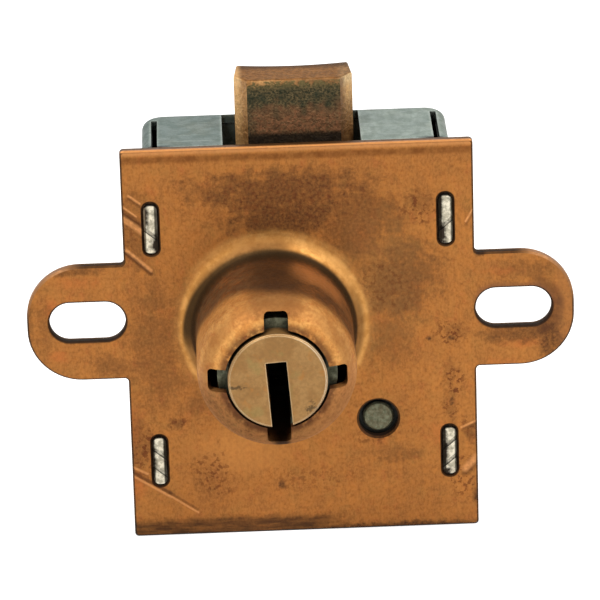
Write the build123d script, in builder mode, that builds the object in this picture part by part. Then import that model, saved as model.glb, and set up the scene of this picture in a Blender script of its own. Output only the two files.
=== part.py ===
"""Mailbox lock: a flat-key lever lock in a sheet-steel case, for the inside of a letterbox door.

Frame, in millimetres: X runs to the right as the lock is seen from the key side, Y runs away
from the key, Z runs up, towards the bolt. The origin is midway between the two slotted ears,
on the front face of the face plate, which bears on the back of the door.
"Depth" below always means a distance in +Y from that front face.

The lock stands locked: bolt out, plug a few degrees past the place where the key goes in.
"""

import os
from math import atan2, cos, degrees, radians, sin

from build123d import *

# Face plate: drawn and pierced sheet
plate_overhang = 2.85
plate_height = 52.6
plate_top = 22.7
plate_sheet = 1.25
plate_edge_break = 0.25
plate_corner = 0.5
ear_end_web = 2.85
ear_height = 15.45
ear_drop = 0.22
ear_corner = 6.9
ear_root = 0.5
ear_slot_spacing = 54.3
ear_slot_length = 9.7
ear_slot_width = 5.2
tab_slot_width = 1.9
tab_slot_height = 7.0
tab_slot_corner = 0.9
tab_slot_inset = 0.15
post_hole_radius = 2.55

# Nozzle: the round barrel drawn forward from the plate
nozzle_radius = 10.0
nozzle_length = 18.5
nozzle_shoulder = 4.0
nozzle_root = 2.8
aperture_radius = 6.6
notch_width = 3.0
notch_corner = 0.6
notch_count = 4
notch_wall_gap = 0.05

# Plug and keyway
plug_x = -3.45
plug_z = -1.5
plug_head_radius = 6.2
plug_head_length = 2.5
plug_proud = 0.55
plug_radius = 5.9
plug_fit = 0.05
keyway_width = 2.6
keyway_above_axis = 2.5
rest_turn = 4.0
full_turn = 90.0
plug_end_web = 0.75
spigot_square = 5.0

# Sleeve that carries the plug, with its mounting flange
sleeve_radius = 7.5
flange_sheet = 1.0
flange_margin = 2.4

# Retaining clip in the plug's groove
clip_groove_radius = 5.2
clip_radius = 7.4
clip_thickness = 0.6
clip_play = 0.08
clip_mouth = 4.2

# Case: folded sheet with open corner slits and four staked tabs
case_width = 38.8
case_depth = 13.2
case_sheet = 1.2
case_side_bend = 2.8
case_fold = 1.3
corner_slit = 0.75
bolt_opening_width = 17.5
bolt_opening_offset = -0.45
tab_height = 5.9
tab_pitch = 31.65
tab_proud = 0.15
head_width = 1.7
head_height = 6.3
head_corner = 0.7
head_depth = 1.0
chisel_width = 0.5
chisel_angle = 40.0
chisel_marks_top = (-0.6,)
chisel_marks_bottom = (-1.3, 1.1)
dimple_radius = 2.3
dimple_x = 5.5
dimple_z = 7.0

# Levers
lever_count = 4
lever_thickness = 1.0
lever_gap = 0.2
washer_play = 0.02
first_lever_depth = 3.3
pivot_x = 9.57
pivot_z = -14.64
pivot_radius = 2.0
pivot_fit = 0.03
lever_eye = 4.2
lever_left = 3.2
lever_right = 14.2
lever_top = 6.6
lever_belly = 2.9
lever_belly_z = -3.0
lever_belly_half = 3.2
lever_corner = 2.0
washer_radius = 3.6
lever_lifts = (6.0, 7.5, 5.0, 6.5)

# Bolt
bolt_width = 15.0
bolt_thickness = 6.4
bolt_top = 29.85
bolt_head_length = 14.4
bolt_side_chamfer = 1.6
bolt_side_chamfer_depth = 2.3
bolt_edge_round = 0.35
bolt_stroke = 8.0
bolt_back_taper = 0.35
bolt_back_hollow = 0.9
bolt_hollow_length = 9.0
tail_thickness = 1.5
tail_left = -12.3
tail_right = 12.6
tail_shoulder = 9.5
tail_arm_bottom = 0.6
tail_foot = -20.2
tongue_width = 7.4
tail_corner = 1.5
drive_slot_web = 1.6

# Fence on the bolt and its path through the levers' windows
fence_radius = 1.25
fence_z = 3.0
fence_shank_radius = 0.9
fence_clearance = 0.35
gate_start = 4.0
gate_length = 1.5
gate_clearance = 0.12
pocket_width = 5.2

# Drive from plug to bolt
disc_radius = 7.9
disc_thickness = 1.1
disc_edge = 0.2
disc_to_tail = 0.15
drive_pin_radius = 1.4
drive_pin_shank = 1.0
drive_pin_clearance = 0.12

# Posts
shoulder_radius = 3.4
rivet_radius = 3.1
rivet_height = 0.9
shank_radius = 1.6
guide_z = -16.0
guide_radius = 2.0
guide_fit = 0.12
guide_spigot_radius = 1.5
spacer_radius = 3.4
stop_pin_radius = 0.9
stop_pin_z = 5.0
stop_pin_gap = 0.05
stop_pin_overrun = 0.3
post_recess = 0.6
post_chamfer = 0.25

# Leaf springs behind the levers
spring_thickness = 0.3
spring_width = 0.7
spring_root_z = -9.2
spring_root_depth = 1.3
spring_bend_share = 0.75
spring_lean = 84.0
spring_gap = 0.05

# Small clearances between pieces that are riveted or pressed together
seat_gap = 0.02

# Places worked out from the sizes above
fence_x = pivot_x
plate_width = case_width + 2 * plate_overhang
ear_reach = (ear_slot_spacing + ear_slot_length) / 2 + ear_end_web
plate_mid = plate_top - plate_height / 2
plug_front = -(nozzle_length + plug_proud)
sleeve_front = plug_front + plug_head_length
nozzle_bore = nozzle_radius - plate_sheet
nozzle_foot = nozzle_radius + nozzle_root
case_back = plate_sheet + case_depth
case_inside = case_back - case_sheet
wall_inside = case_width / 2 - case_sheet
spring_bend = spring_bend_share * (wall_inside - lever_right)
flange_back = plate_sheet + flange_sheet
clip_front = flange_back + clip_play
lever_pitch = lever_thickness + lever_gap
levers_back = first_lever_depth + lever_count * lever_pitch - lever_gap
keyway_end = levers_back + 0.1
plug_back = keyway_end + plug_end_web
disc_back = plug_back + disc_thickness
tail_front = disc_back + disc_to_tail
bolt_back = tail_front + tail_thickness
bolt_front = bolt_back - bolt_thickness
bolt_heel = bolt_top - bolt_head_length
rest_share = rest_turn / full_turn
drive_circle = bolt_stroke / (2 * sin(radians(full_turn / 2)))
pin_wander = 0.03 * drive_circle
pin_slot_z = plug_z + bolt_stroke * (0.5 - rest_share)
fence_locked_z = fence_z + bolt_stroke * rest_share

plug_axis = Axis((plug_x, 0, plug_z), (0, 1, 0))
turning_plane = Plane(origin=(plug_x, 0, plug_z), x_dir=(1, 0, 0), z_dir=(0, 0, 1))


def at_depth(depth):
    """Sketch plane at a depth behind the front face: x right, y up, extrusions run forwards."""
    return Plane.XZ.offset(-depth)


def post_plane(x, z):
    """Plane for the half section of a round post: x is the radius and y the depth."""
    return Plane(origin=(x, 0, z), x_dir=(1, 0, 0), z_dir=(0, 0, 1))


def save(piece, name):
    piece.part.label = name
    export_step(piece.part, f"parts/{name}.step")


os.makedirs("parts", exist_ok=True)

# Face plate with ears, slots and the drawn nozzle
tab_slot_x = wall_inside + case_sheet / 2 - tab_slot_inset
with BuildPart() as face_plate:
    with BuildSketch(at_depth(plate_sheet)) as plate_outline:
        with Locations((0, plate_mid)):
            RectangleRounded(plate_width, plate_height, plate_corner)
        with Locations((0, -ear_drop)):
            RectangleRounded(2 * ear_reach, ear_height, ear_corner)
        ear_roots = [
            v
            for v in plate_outline.vertices()
            if abs(abs(v.X) - plate_width / 2) < 0.01
            and abs(abs(v.Y + ear_drop) - ear_height / 2) < 0.01
        ]
        fillet(ear_roots, ear_root)
        with GridLocations(ear_slot_spacing, 0, 2, 1):
            SlotOverall(ear_slot_length, ear_slot_width, mode=Mode.SUBTRACT)
        with Locations((0, plate_mid)), GridLocations(2 * tab_slot_x, tab_pitch, 2, 2):
            RectangleRounded(tab_slot_width, tab_slot_height, tab_slot_corner, mode=Mode.SUBTRACT)
        with Locations((pivot_x, pivot_z)):
            Circle(post_hole_radius, mode=Mode.SUBTRACT)
        with Locations((plug_x, plug_z)):
            Circle(nozzle_foot, mode=Mode.SUBTRACT)
    extrude(amount=plate_sheet)
    # The punch leaves a small broken edge round everything that it cut.
    punched = [
        e
        for e in face_plate.faces().sort_by(Axis.Y)[0].edges()
        if not (e.geom_type == GeomType.CIRCLE and abs(e.radius - nozzle_foot) < 0.01)
    ]
    chamfer(punched, plate_edge_break)
    # Section of the drawn nozzle, from its foot round the shoulder to the aperture
    straight_end = -(nozzle_length - nozzle_shoulder)
    with BuildSketch(turning_plane):
        with BuildLine():
            CenterArc((nozzle_foot, -nozzle_root), nozzle_root, 90, 90)
            Line((nozzle_radius, -nozzle_root), (nozzle_radius, straight_end))
            CenterArc((nozzle_radius - nozzle_shoulder, straight_end), nozzle_shoulder, 0, -90)
            Polyline(
                (nozzle_radius - nozzle_shoulder, -nozzle_length),
                (nozzle_radius - nozzle_shoulder, -nozzle_length + plate_sheet),
            )
            CenterArc(
                (nozzle_radius - nozzle_shoulder, straight_end), nozzle_shoulder - plate_sheet, -90, 90
            )
            Line((nozzle_bore, straight_end), (nozzle_bore, -nozzle_root))
            CenterArc((nozzle_foot, -nozzle_root), nozzle_root + plate_sheet, 180, -90)
            Line((nozzle_foot, plate_sheet), (nozzle_foot, 0))
        make_face()
    revolve(axis=plug_axis)
    # The aperture and the four notches are pierced through the domed end.
    with BuildSketch(at_depth(straight_end)):
        with Locations((plug_x, plug_z)):
            Circle(aperture_radius)
            with PolarLocations(0, notch_count):
                RectangleRounded(
                    nozzle_bore - notch_wall_gap, notch_width, notch_corner, align=(Align.MIN, Align.CENTER)
                )
    extrude(amount=2 * nozzle_shoulder, mode=Mode.SUBTRACT)
save(face_plate, "face_plate")

# Case: one folded blank, open to the front, with slits where its walls meet
with BuildPart() as back_case:
    with BuildSketch(at_depth(case_back)):
        with Locations((0, plate_mid)):
            Rectangle(case_width, plate_height)
    extrude(amount=case_depth)
    back_edges = back_case.faces().sort_by(Axis.Y)[-1].edges()
    fillet(back_edges.filter_by(Axis.Z), case_side_bend)
    fillet(back_case.faces().sort_by(Axis.Y)[-1].edges().filter_by(Axis.X), case_fold)
    offset(amount=-case_sheet, openings=back_case.faces().sort_by(Axis.Y)[0])
    # Corner slits in the top and bottom walls
    slit_length = case_depth - case_side_bend
    with BuildSketch(at_depth(plate_sheet + slit_length)):
        with Locations((0, plate_mid)):
            with GridLocations(2 * wall_inside - corner_slit, plate_height, 2, 2):
                Rectangle(corner_slit, 2 * case_sheet)
    extrude(amount=slit_length, mode=Mode.SUBTRACT)
    # Opening in the top wall for the bolt
    with BuildSketch(at_depth(case_inside)):
        with Locations((bolt_opening_offset, plate_top)):
            Rectangle(bolt_opening_width, 2 * case_sheet)
    extrude(amount=case_depth - case_sheet, mode=Mode.SUBTRACT)
    # Holes for the two riveted posts
    with BuildSketch(at_depth(case_back)):
        with Locations((pivot_x, pivot_z), (plug_x, guide_z)):
            Circle(shank_radius + seat_gap)
    extrude(amount=case_sheet, mode=Mode.SUBTRACT)
    # Dimples that carry the back of the bolt
    dimple_height = case_inside - bolt_back - guide_fit / 2
    for side in (-1, 1):
        dimple_axis = Axis((side * dimple_x, 0, dimple_z), (0, 1, 0))
        with BuildSketch(post_plane(side * dimple_x, dimple_z)):
            with BuildLine():
                Polyline(
                    (0, case_back),
                    (0, case_inside - dimple_height),
                    (dimple_radius - case_sheet, case_inside - dimple_height),
                    (dimple_radius, case_inside),
                    (dimple_radius, case_back),
                    (0, case_back),
                )
            make_face()
        revolve(axis=dimple_axis)
        with BuildSketch(post_plane(side * dimple_x, dimple_z)):
            with BuildLine():
                Polyline(
                    (0, case_back),
                    (0, case_back - dimple_height),
                    (dimple_radius - case_sheet, case_back - dimple_height),
                    (dimple_radius, case_back),
                    (0, case_back),
                )
            make_face()
        revolve(axis=dimple_axis, mode=Mode.SUBTRACT)
    # Tabs through the face plate, their heads spread and cut across by the staking chisel
    with BuildSketch(at_depth(plate_sheet)):
        with Locations((0, plate_mid)), GridLocations(2 * wall_inside + case_sheet, tab_pitch, 2, 2):
            Rectangle(case_sheet, tab_height)
    extrude(amount=plate_sheet + tab_proud)
    with BuildSketch(at_depth(head_depth - tab_proud)):
        with Locations((0, plate_mid)), GridLocations(2 * tab_slot_x, tab_pitch, 2, 2):
            RectangleRounded(head_width, head_height, head_corner)
    extrude(amount=head_depth)
    for side in (-1, 1):
        with BuildSketch(at_depth(chisel_width / 2 - tab_proud)):
            for row, marks in ((1, chisel_marks_top), (-1, chisel_marks_bottom)):
                for mark in marks:
                    with Locations((side * tab_slot_x, plate_mid + row * tab_pitch / 2 + mark)):
                        Rectangle(2 * head_width, chisel_width, rotation=side * chisel_angle)
        extrude(amount=chisel_width, mode=Mode.SUBTRACT)
save(back_case, "back_case")

# Sleeve for the plug; its flange lies behind the plate and is held by both posts
with BuildPart() as barrel_sleeve:
    with BuildSketch(at_depth(flange_back)):
        with Locations((plug_x, plug_z)):
            Circle(nozzle_radius + flange_margin)
        with Locations((pivot_x, pivot_z)):
            Circle(pivot_radius + flange_margin)
        with Locations((plug_x, guide_z)):
            Circle(guide_radius + flange_margin)
        make_hull()
    extrude(amount=flange_sheet)
    with BuildSketch(at_depth(plate_sheet)):
        with Locations((plug_x, plug_z)):
            Circle(sleeve_radius)
    extrude(amount=plate_sheet - sleeve_front)
    with BuildSketch(at_depth(flange_back)):
        with Locations((plug_x, plug_z)):
            Circle(plug_radius + plug_fit)
            Rectangle(notch_width, nozzle_bore, align=(Align.CENTER, Align.MAX))
    extrude(amount=flange_back - sleeve_front, mode=Mode.SUBTRACT)
    with BuildSketch(at_depth(flange_back)):
        with Locations((pivot_x, pivot_z)):
            Circle(pivot_radius + pivot_fit)
        with Locations((plug_x, guide_z)):
            Circle(guide_spigot_radius + pivot_fit)
        with Locations((lever_left - stop_pin_gap - stop_pin_radius, stop_pin_z)):
            Circle(stop_pin_radius + seat_gap)
    extrude(amount=flange_sheet, mode=Mode.SUBTRACT)
save(barrel_sleeve, "barrel_sleeve")

# Plug: turned brass, slotted for the flat key, squared at the back for the drive disc
with BuildPart() as plug:
    with BuildSketch(turning_plane):
        with BuildLine():
            Polyline(
                (0, plug_front),
                (plug_head_radius, plug_front),
                (plug_head_radius, sleeve_front),
                (plug_radius, sleeve_front),
                (plug_radius, clip_front),
                (clip_groove_radius, clip_front),
                (clip_groove_radius, clip_front + clip_thickness),
                (plug_radius, clip_front + clip_thickness),
                (plug_radius, plug_back),
                (0, plug_back),
                (0, plug_front),
            )
        make_face()
    revolve(axis=plug_axis)
    front_rim = plug.faces().sort_by(Axis.Y)[0].edges()
    chamfer(front_rim, 0.2)
    with BuildSketch(at_depth(disc_back)):
        with Locations((plug_x, plug_z)):
            Rectangle(spigot_square, spigot_square, rotation=rest_turn)
    extrude(amount=disc_thickness)
    with BuildSketch(at_depth(keyway_end)):
        with Locations(Location((plug_x, plug_z), rest_turn)):
            with Locations((0, keyway_above_axis)):
                Rectangle(
                    keyway_width, keyway_above_axis + 2 * plug_radius, align=(Align.CENTER, Align.MAX)
                )
    extrude(amount=keyway_end - plug_front + 1, mode=Mode.SUBTRACT)
save(plug, "plug")

# Spring clip in the plug's groove; its mouth lies over the keyway, so that the key passes
with BuildPart() as plug_clip:
    with BuildSketch(at_depth(clip_front + clip_thickness)):
        with Locations(Location((plug_x, plug_z), rest_turn)):
            Circle(clip_radius)
            Circle(clip_groove_radius + seat_gap, mode=Mode.SUBTRACT)
            Rectangle(clip_mouth, clip_radius, align=(Align.CENTER, Align.MAX), mode=Mode.SUBTRACT)
    extrude(amount=clip_thickness)
save(plug_clip, "plug_clip")

# Disc on the squared back of the plug, drilled for the drive pin
pin_angle = 180 - full_turn / 2 + rest_turn
pin_x = plug_x + drive_circle * cos(radians(pin_angle))
pin_z = plug_z + drive_circle * sin(radians(pin_angle))
with BuildPart() as drive_disc:
    with BuildSketch(at_depth(disc_back)):
        with Locations((plug_x, plug_z)):
            Circle(disc_radius)
        with Locations(Location((plug_x, plug_z), rest_turn)):
            Rectangle(spigot_square + 2 * seat_gap, spigot_square + 2 * seat_gap, mode=Mode.SUBTRACT)
        with Locations((pin_x, pin_z)):
            Circle(drive_pin_shank + seat_gap, mode=Mode.SUBTRACT)
    extrude(amount=disc_thickness)
    rim_edges = drive_disc.faces().sort_by(SortBy.AREA).filter_by(GeomType.CYLINDER)[-1].edges()
    chamfer(rim_edges.filter_by(GeomType.CIRCLE), disc_edge)
save(drive_disc, "drive_disc")


def save_post(name, x, z, section):
    """Turn a half section, given as radius and depth points from front to back, about Y."""
    with BuildPart() as post:
        with BuildSketch(post_plane(x, z)):
            with BuildLine():
                Polyline((0, section[0][1]), *section, (0, section[-1][1]), close=True)
            make_face()
        revolve(axis=Axis((x, 0, z), (0, 1, 0)))
    save(post, name)


# Drive pin: its shank is riveted flush in the disc, its head slides in the bolt's cross slot
save_post(
    "drive_pin",
    pin_x,
    pin_z,
    [
        (drive_pin_shank, plug_back),
        (drive_pin_shank, disc_back),
        (drive_pin_radius, disc_back),
        (drive_pin_radius, bolt_back - disc_edge),
        (drive_pin_radius - disc_edge, bolt_back),
    ],
)

# Bolt: cast brass head and a flat tail, flush at the back
slot_half = drive_pin_radius + pin_wander + drive_pin_clearance
slot_inner = plug_x - bolt_stroke / 2 + drive_pin_radius + drive_pin_clearance
slot_outer = plug_x - drive_circle - drive_pin_radius - drive_pin_clearance
drive_arm_bottom = pin_slot_z - slot_half - drive_slot_web
guide_slot_low = guide_z - bolt_stroke * rest_share
half_width = bolt_width / 2
with BuildPart() as bolt:
    with BuildSketch(Plane.XY.offset(bolt_heel)):
        with BuildLine():
            Polyline(
                (-half_width + bolt_back_taper, bolt_back),
                (-half_width, bolt_front + bolt_side_chamfer_depth),
                (-half_width + bolt_side_chamfer, bolt_front),
                (half_width - bolt_side_chamfer, bolt_front),
                (half_width, bolt_front + bolt_side_chamfer_depth),
                (half_width - bolt_back_taper, bolt_back),
                close=True,
            )
        make_face()
    extrude(amount=bolt_head_length)
    top_edges = bolt.faces().sort_by(Axis.Z)[-1].edges().filter_by(Axis.Y, reverse=True)
    fillet(top_edges.sort_by(Axis.Y)[:-1], bolt_edge_round)
    # The back of the head is hollowed where it meets its keeper.
    with BuildSketch(Plane.XY.offset(bolt_top)):
        with BuildLine():
            ThreePointArc(
                (-half_width, bolt_back), (0, bolt_back - bolt_back_hollow), (half_width, bolt_back)
            )
            Line((half_width, bolt_back), (-half_width, bolt_back))
        make_face()
    extrude(amount=-bolt_hollow_length, mode=Mode.SUBTRACT)
    # Tail: neck, cross arm with the drive slot on its left, and the guided tongue
    with BuildSketch(at_depth(bolt_back)) as tail:
        with Locations((0, tail_shoulder)):
            Rectangle(
                bolt_width - 2 * bolt_back_taper,
                bolt_heel - tail_shoulder + tail_corner,
                align=(Align.CENTER, Align.MIN),
            )
        with Locations((tail_left, tail_arm_bottom)):
            Rectangle(tail_right - tail_left, tail_shoulder - tail_arm_bottom, align=Align.MIN)
        with Locations((tail_left, drive_arm_bottom)):
            Rectangle(plug_x - tail_left, tail_shoulder - drive_arm_bottom, align=Align.MIN)
        with Locations((plug_x, tail_foot)):
            Rectangle(tongue_width, tail_shoulder - tail_foot, align=(Align.CENTER, Align.MIN))
        arm_corners = [
            v for v in tail.vertices() if v.X < tail_left + 0.01 or v.X > tail_right - 0.01
        ]
        foot_corners = tail.vertices().sort_by(Axis.Y)[:2]
        fillet(arm_corners + list(foot_corners), tail_corner)
        with Locations((fence_x, fence_z)):
            Circle(fence_shank_radius + seat_gap, mode=Mode.SUBTRACT)
        with Locations(((slot_inner + slot_outer) / 2, pin_slot_z)):
            SlotOverall(slot_inner - slot_outer, 2 * slot_half, mode=Mode.SUBTRACT)
        with Locations((plug_x, guide_slot_low + bolt_stroke / 2)):
            SlotCenterToCenter(
                bolt_stroke + 2 * guide_fit,
                2 * (guide_radius + guide_fit),
                rotation=90,
                mode=Mode.SUBTRACT,
            )
    extrude(amount=tail_thickness)
save(bolt, "bolt")

# Fence: a stud riveted in the bolt's tail, reaching forward through all the levers
save_post(
    "fence",
    fence_x,
    fence_z,
    [
        (fence_radius - disc_edge, first_lever_depth - fence_clearance),
        (fence_radius, first_lever_depth - fence_clearance + disc_edge),
        (fence_radius, tail_front),
        (fence_shank_radius, tail_front),
        (fence_shank_radius, bolt_back),
    ],
)


def fence_in_lever(travel, full_lift):
    """Where the fence's centre stands in a lever's own frame, pivot at zero, after a travel."""
    reach = fence_locked_z - pivot_z - travel
    swing = radians(full_lift * travel / bolt_stroke)
    return Vector(-reach * sin(swing), reach * cos(swing))


def lever_plane(depth, full_lift):
    """Sketch plane at a depth with its zero on the pivot, leaning as the lever does at rest."""
    lean = radians(full_lift * rest_share)
    return Plane(
        origin=(pivot_x, depth, pivot_z), x_dir=(cos(lean), 0, -sin(lean)), z_dir=(0, -1, 0)
    )


def make_lever(depth, full_lift):
    """One lever: eye, belly for the key, and a window of two pockets joined by a gate."""
    left = lever_left - pivot_x
    right = lever_right - pivot_x
    top = lever_top - pivot_z
    body_foot = spring_root_z - pivot_z + lever_corner
    belly_x = lever_belly - pivot_x
    belly_y = lever_belly_z - pivot_z
    locked = fence_in_lever(0, full_lift)
    entering = fence_in_lever(gate_start, full_lift)
    leaving = fence_in_lever(gate_start + gate_length, full_lift)
    unlocked = fence_in_lever(bolt_stroke, full_lift)
    pocket_x = (locked.X + unlocked.X) / 2
    fence_room = fence_radius + fence_clearance
    gate = leaving - entering
    with BuildPart() as lever:
        with BuildSketch(lever_plane(depth, full_lift)):
            Circle(lever_eye)
            with Locations(((left + right) / 2, (top + body_foot) / 2)):
                RectangleRounded(right - left, top - body_foot, lever_corner)
            make_hull()
            with BuildLine():
                ThreePointArc(
                    (left, belly_y - lever_belly_half),
                    (belly_x, belly_y),
                    (left, belly_y + lever_belly_half),
                )
                Polyline(
                    (left, belly_y + lever_belly_half),
                    (pocket_x - pocket_width, belly_y),
                    (left, belly_y - lever_belly_half),
                )
            make_face()
            Circle(pivot_radius + pivot_fit, mode=Mode.SUBTRACT)
            with Locations((pocket_x, entering.Y)):
                Rectangle(
                    pocket_width,
                    locked.Y + fence_room - entering.Y,
                    align=(Align.CENTER, Align.MIN),
                    mode=Mode.SUBTRACT,
                )
            with Locations((pocket_x, leaving.Y)):
                Rectangle(
                    pocket_width,
                    leaving.Y - unlocked.Y + fence_room,
                    align=(Align.CENTER, Align.MAX),
                    mode=Mode.SUBTRACT,
                )
            # The gate follows the fence's path, which leans a little as the lever swings.
            with Locations((entering + leaving) / 2):
                Rectangle(
                    2 * (fence_radius + gate_clearance),
                    gate.length + fence_clearance,
                    rotation=degrees(atan2(gate.X, -gate.Y)),
                    mode=Mode.SUBTRACT,
                )
            # Slit for the root of the leaf spring
            with Locations((right, spring_root_z - pivot_z)):
                Rectangle(
                    2 * spring_root_depth, spring_thickness + 2 * seat_gap, mode=Mode.SUBTRACT
                )
        extrude(amount=lever_thickness)
    return lever


def make_lever_spring(depth, full_lift):
    """Leaf spring: rooted in the lever's edge, bent up, its tip against the case wall."""
    swing = radians(full_lift * rest_share)
    edge_x = lever_right - pivot_x
    root_y = spring_root_z - pivot_z
    tip_x = wall_inside - spring_gap - spring_thickness / 2 - pivot_x
    with BuildPart() as spring:
        with BuildSketch(lever_plane(depth, full_lift)):
            with BuildLine():
                Line((edge_x - spring_root_depth + seat_gap, root_y), (edge_x, root_y))
                bend = JernArc((edge_x, root_y), (1, 0), spring_bend, spring_lean)
                bend_end = bend @ 1
                short_of_wall = tip_x - bend_end.X * cos(swing) - bend_end.Y * sin(swing)
                leaf_length = short_of_wall / cos(radians(spring_lean) - swing)
                PolarLine(bend_end, leaf_length, spring_lean)
            trace(line_width=spring_thickness)
        extrude(amount=spring_width)
    return spring


# The pack of levers, each with its own lift, gate and spring
for number, lift in enumerate(lever_lifts, start=1):
    lever_back = first_lever_depth + (number - 1) * lever_pitch + lever_thickness
    spring_back = lever_back - (lever_thickness - spring_width) / 2
    save(make_lever(lever_back, lift), f"lever_{number}")
    save(make_lever_spring(spring_back, lift), f"lever_spring_{number}")


def save_ring(name, x, z, bore, outside, front, back):
    """Plain washer or spacer on a post."""
    with BuildPart() as ring:
        with BuildSketch(at_depth(back)):
            with Locations((x, z)):
                Circle(outside)
                Circle(bore, mode=Mode.SUBTRACT)
        extrude(amount=back - front)
    save(ring, name)


# Washers between the levers, and the spacer that holds the pack off the flange
pivot_bore = pivot_radius + pivot_fit
for number in range(1, lever_count):
    lever_back = first_lever_depth + number * lever_pitch - lever_gap
    save_ring(
        f"lever_washer_{number}",
        pivot_x,
        pivot_z,
        pivot_bore,
        washer_radius,
        lever_back + washer_play,
        lever_back + lever_gap - washer_play,
    )
save_ring(
    "lever_spacer",
    pivot_x,
    pivot_z,
    pivot_bore,
    spacer_radius,
    flange_back + washer_play,
    first_lever_depth - washer_play,
)

# Lever post: riveted in the case; its other end shows in the plate's round hole
save_post(
    "lever_post",
    pivot_x,
    pivot_z,
    [
        (pivot_radius - post_chamfer, post_recess),
        (pivot_radius, post_recess + post_chamfer),
        (pivot_radius, levers_back + washer_play),
        (shoulder_radius, levers_back + washer_play),
        (shoulder_radius, case_inside),
        (shank_radius, case_inside),
        (shank_radius, case_back),
        (rivet_radius, case_back),
        (rivet_radius - rivet_height / 2, case_back + rivet_height),
    ],
)

# Guide post: steers the bolt's tongue, and holds the bolt off the case
save_post(
    "guide_post",
    plug_x,
    guide_z,
    [
        (guide_spigot_radius, plate_sheet + washer_play),
        (guide_spigot_radius, flange_back),
        (guide_radius, flange_back),
        (guide_radius, bolt_back + guide_fit / 2),
        (shoulder_radius, bolt_back + guide_fit / 2),
        (shoulder_radius, case_inside),
        (shank_radius, case_inside),
        (shank_radius, case_back),
        (rivet_radius, case_back),
        (rivet_radius - rivet_height / 2, case_back + rivet_height),
    ],
)
save_ring(
    "guide_spacer",
    plug_x,
    guide_z,
    guide_radius + pivot_fit,
    spacer_radius,
    flange_back + washer_play,
    tail_front - guide_fit / 2,
)

# Stop pin: pressed in the flange, the levers' left edges rest on it
save_post(
    "stop_pin",
    lever_left - stop_pin_gap - stop_pin_radius,
    stop_pin_z,
    [
        (stop_pin_radius, plate_sheet + washer_play),
        (stop_pin_radius, levers_back + stop_pin_overrun),
    ],
)
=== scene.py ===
from math import cos, radians, sin

import bpy
from mathutils import Matrix, Vector


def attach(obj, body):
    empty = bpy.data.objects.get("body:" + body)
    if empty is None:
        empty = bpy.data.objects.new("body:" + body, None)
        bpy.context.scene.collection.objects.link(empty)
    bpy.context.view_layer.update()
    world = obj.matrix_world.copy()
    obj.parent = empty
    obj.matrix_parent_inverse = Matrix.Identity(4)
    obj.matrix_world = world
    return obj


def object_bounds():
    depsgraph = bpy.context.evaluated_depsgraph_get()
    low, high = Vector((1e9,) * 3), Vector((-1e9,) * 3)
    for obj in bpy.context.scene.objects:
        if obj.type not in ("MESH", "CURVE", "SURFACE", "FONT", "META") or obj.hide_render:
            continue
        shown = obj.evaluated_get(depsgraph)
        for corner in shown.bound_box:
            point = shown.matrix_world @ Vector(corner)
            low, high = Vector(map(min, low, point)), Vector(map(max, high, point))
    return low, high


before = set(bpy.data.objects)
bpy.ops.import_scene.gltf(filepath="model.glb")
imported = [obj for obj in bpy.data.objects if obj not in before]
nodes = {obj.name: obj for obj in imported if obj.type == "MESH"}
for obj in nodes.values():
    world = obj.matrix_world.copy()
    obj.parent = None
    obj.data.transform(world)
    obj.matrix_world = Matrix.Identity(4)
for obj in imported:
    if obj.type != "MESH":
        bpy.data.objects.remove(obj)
cad_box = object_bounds()

# Picture: the lock stands on a white sweep, seen from a little above through a long lens.
# The sheet of paper keeps a soft shadow; camera and metal alike see it and the room as white.
plate_middle = Vector((0, 0, -0.0036))
aim_left, aim_up = 0.00021, 0.005207
camera_distance = 0.63375
turn, rise, tilt = radians(-1.09), radians(20.68), radians(-1.70)
film_width, lens_length = 36, 298.1
backward = Vector((sin(turn) * cos(rise), -cos(turn) * cos(rise), sin(rise)))
level_right = Vector((cos(turn), sin(turn), 0))
level_up = backward.cross(level_right)
picture_right = level_right * cos(tilt) + level_up * sin(tilt)
picture_up = level_up * cos(tilt) - level_right * sin(tilt)
aim = plate_middle - picture_right * aim_left + picture_up * aim_up

camera = bpy.data.objects.new("camera", bpy.data.cameras.new("camera"))
bpy.context.scene.collection.objects.link(camera)
camera.data.sensor_width = film_width
camera.data.lens = lens_length
camera.data.clip_start = 0.05
camera.data.clip_end = 10
camera.matrix_world = Matrix.Translation(aim + backward * camera_distance) @ Matrix(
    (picture_right, picture_up, backward)
).transposed().to_4x4()
bpy.context.scene.camera = camera
bpy.context.scene.view_settings.view_transform = "Standard"


def wire(tree, kind, feeds, **settings):
    """Adds a node, sets it up, and gives each named input a value or another node's output."""
    node = tree.nodes.new(kind)
    for name, value in settings.items():
        setattr(node, name, value)
    for name, value in feeds.items():
        socket = node.inputs[name]
        if isinstance(value, bpy.types.NodeSocket):
            tree.links.new(value, socket)
        elif socket.type == "RGBA":
            socket.default_value = (*value, 1)
        else:
            socket.default_value = value
    return node


def calc(tree, operation, first, second=0.0):
    return wire(tree, "ShaderNodeMath", {0: first, 1: second}, operation=operation).outputs[0]


room = bpy.data.worlds.new("white room")
room.use_nodes = True
bpy.context.scene.world = room
tree = room.node_tree
tree.nodes.clear()
path = wire(tree, "ShaderNodeLightPath", {})
seen = calc(tree, "MAXIMUM", path.outputs["Is Glossy Ray"], path.outputs["Is Transmission Ray"])
seen = calc(tree, "MAXIMUM", seen, path.outputs["Is Camera Ray"])
fill = wire(tree, "ShaderNodeBackground", {"Color": (0.97, 0.98, 1.0), "Strength": 0.42})
white = wire(tree, "ShaderNodeBackground", {"Color": (1, 1, 1), "Strength": 1.0})
either = wire(tree, "ShaderNodeMixShader", {0: seen, 1: fill.outputs[0], 2: white.outputs[0]})
wire(tree, "ShaderNodeOutputWorld", {"Surface": either.outputs[0]})


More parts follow.
